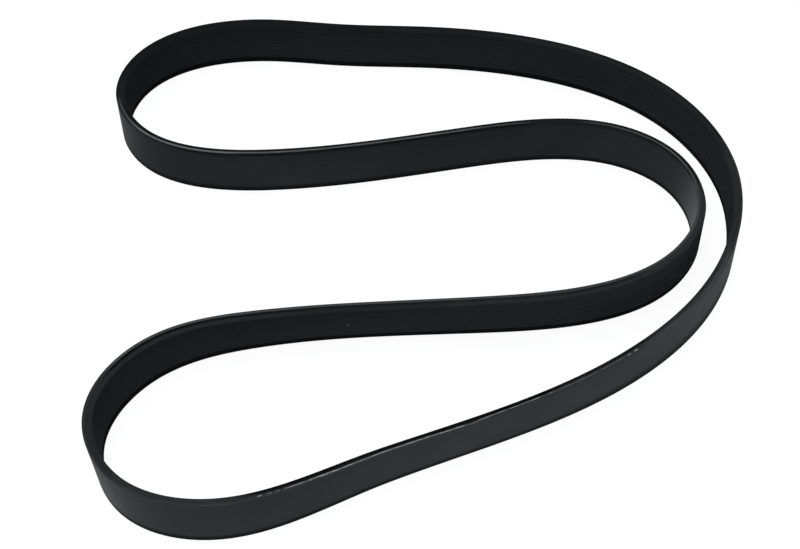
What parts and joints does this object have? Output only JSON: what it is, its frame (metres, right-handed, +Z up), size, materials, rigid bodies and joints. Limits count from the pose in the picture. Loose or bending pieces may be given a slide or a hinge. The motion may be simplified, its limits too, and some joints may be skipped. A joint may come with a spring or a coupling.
{
  "type": "serpentine belt",
  "caption": "Endless ribbed rubber drive belt standing on its edge in a loose S-shaped loop, smooth back outside and lengthwise V-ribs inside.",
  "frame": {"origin": "on the floor under the middle of the loop's bounding box, level with the lower cut edge", "axes": "+Z up across the belt's width, +X along the longer side of the loop towards the single outer bend, -Y towards the strand that shows its back in front"},
  "size_m": [0.3116, 0.2902, 0.0285],
  "materials": {
    "rubber": "matte"
  },
  "bodies": {
    "root": {"serpentine_belt": "rubber"}
  },
  "joints": []
}
